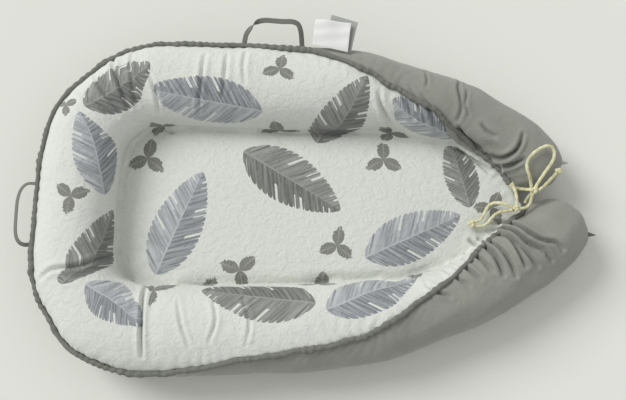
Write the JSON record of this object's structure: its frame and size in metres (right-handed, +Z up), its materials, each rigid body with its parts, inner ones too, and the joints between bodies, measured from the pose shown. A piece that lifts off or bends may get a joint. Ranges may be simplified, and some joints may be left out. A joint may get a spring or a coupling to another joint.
{
  "type": "infant lounger",
  "caption": "Padded infant nest: stuffed bumper roll bent round a flat pad, with a drawstring in its edge tied at the foot, carrying loops and a zip below.",
  "frame": {"origin": "middle of the bounding box in plan, on the surface that the nest lies on, measured without the free cords of the bow", "axes": "+X from the head end to the foot end, +Y to the long side with the care label, +Z up"},
  "size_m": [0.9344, 0.5984, 0.1202],
  "materials": {
    "filling": "hollow polyester fibre",
    "pad_foam": "quilted polyester wadding",
    "printed_cotton": "plain weave, printed with leaves",
    "grey_cotton": "plain weave, dyed grey",
    "dark_webbing": "woven tape",
    "cotton_cord": "twisted cotton",
    "label_satin": "satin tape, blank",
    "label_tape": "woven tape, blank",
    "zip_tape": "woven tape",
    "zip_nylon": "moulded coil",
    "zip_metal": "enamelled zinc"
  },
  "bodies": {
    "nest": {"bumper_filling": "filling", "mattress_insert": "pad_foam", "top_cover": "printed_cotton", "base_cover": "grey_cotton", "edge_casing": "grey_cotton", "corner_tab_far": "grey_cotton", "corner_tab_near": "dark_webbing", "drawstring": "cotton_cord", "bow_knot": "cotton_cord", "bow_knot_small": "cotton_cord", "bow_loop": "cotton_cord", "cord_link": "cotton_cord", "cord_tail_far": "cotton_cord", "cord_tail_short": "cotton_cord", "cord_strand_upper": "cotton_cord", "cord_strand_lower": "cotton_cord", "end_knot_far": "cotton_cord", "end_knot_near": "cotton_cord", "zip_tape_near": "zip_tape", "zip_tape_far": "zip_tape", "zip_teeth_near": "zip_nylon", "zip_teeth_far": "zip_nylon", "zip_stop_head": "zip_metal", "zip_stop_foot": "zip_metal"},
    "side_handle": {"side_handle": "dark_webbing"},
    "head_handle": {"head_handle": "dark_webbing"},
    "care_label": {"care_label_front": "label_satin", "care_label_back": "label_tape"},
    "zip_slider": {"zip_slider": "zip_metal"},
    "zip_pull": {"zip_pull": "zip_metal"}
  },
  "joints": [
    {"name": "side_handle_fold", "type": "hinge", "parent": "nest", "child": "side_handle", "pos_m": [-0.05295, 0.25932, 0.08432], "axis": [0.9896, -0.0737, 0.1231], "range_deg": [-70, 95]},
    {"name": "head_handle_fold", "type": "hinge", "parent": "nest", "child": "head_handle", "pos_m": [-0.44677, -0.03419, 0.07537], "axis": [0.0338, 0.9994, -0.002], "range_deg": [-70, 95]},
    {"name": "care_label_fold", "type": "hinge", "parent": "nest", "child": "care_label", "pos_m": [0.04074, 0.2446, 0.09876], "axis": [0.9612, -0.191, 0.1988], "range_deg": [-45, 90]},
    {"name": "zip_slide", "type": "slide", "parent": "nest", "child": "zip_slider", "axis": [1, 0, 0], "range_m": [0, 0.3815]},
    {"name": "zip_pull_turn", "type": "hinge", "parent": "zip_slider", "child": "zip_pull", "pos_m": [-0.20086, -0.01708, 0.0065], "axis": [0, 1, 0], "range_deg": [0, 175]}
  ]
}
